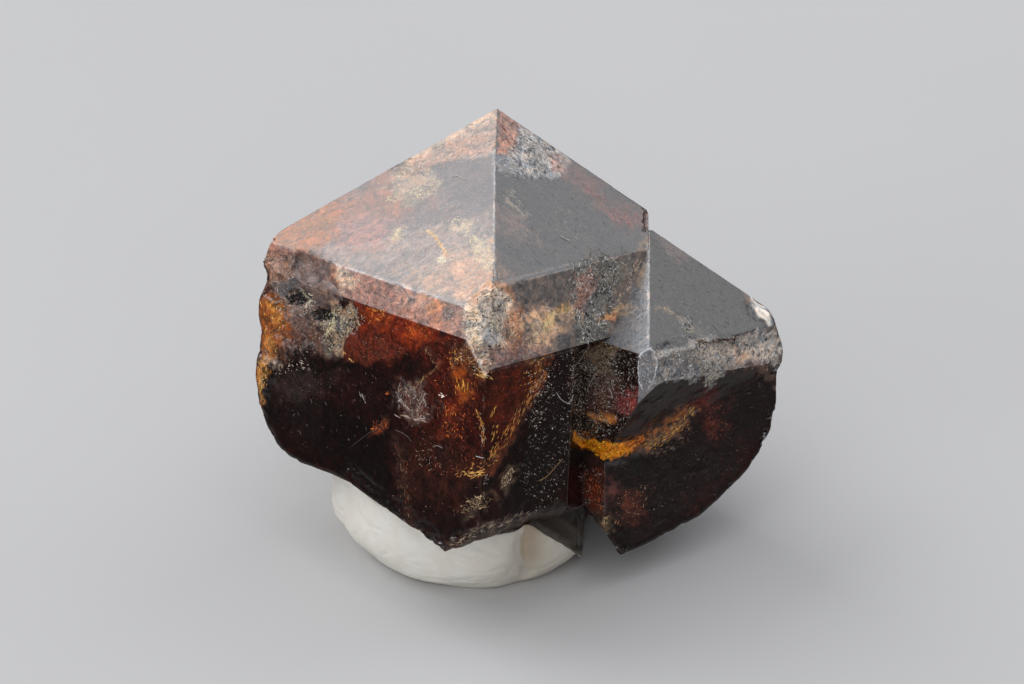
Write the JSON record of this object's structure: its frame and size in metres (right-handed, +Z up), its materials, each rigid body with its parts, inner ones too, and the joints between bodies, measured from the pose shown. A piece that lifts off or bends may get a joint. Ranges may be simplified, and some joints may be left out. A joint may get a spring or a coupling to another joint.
{
  "type": "zircon crystal specimen",
  "caption": "Intergrown, see-through red-brown zircon with pyramid tips and broken, dusty sides, leaning back on a lump of white putty.",
  "frame": {"origin": "middle of the specimen's footprint box, on the surface that it stands on", "axes": "+Z up; +X towards the smaller crystal, along the longest side; the tips' front edges face -Y, and the crystals lean back towards +Y"},
  "size_m": [0.0222, 0.0206, 0.0176],
  "materials": {
    "zircon": "vitreous to adamantine growth faces, see-through deep red-brown with dull crusts, chips and broken faces",
    "putty": "waxy off-white mounting putty",
    "dust": "pale dust specks and lint fibres",
    "inclusion": "golden and orange healed cracks and flakes sealed in the crystal"
  },
  "bodies": {
    "root": {"zircon_crystal": "zircon", "putty_base": "putty"}
  },
  "joints": []
}
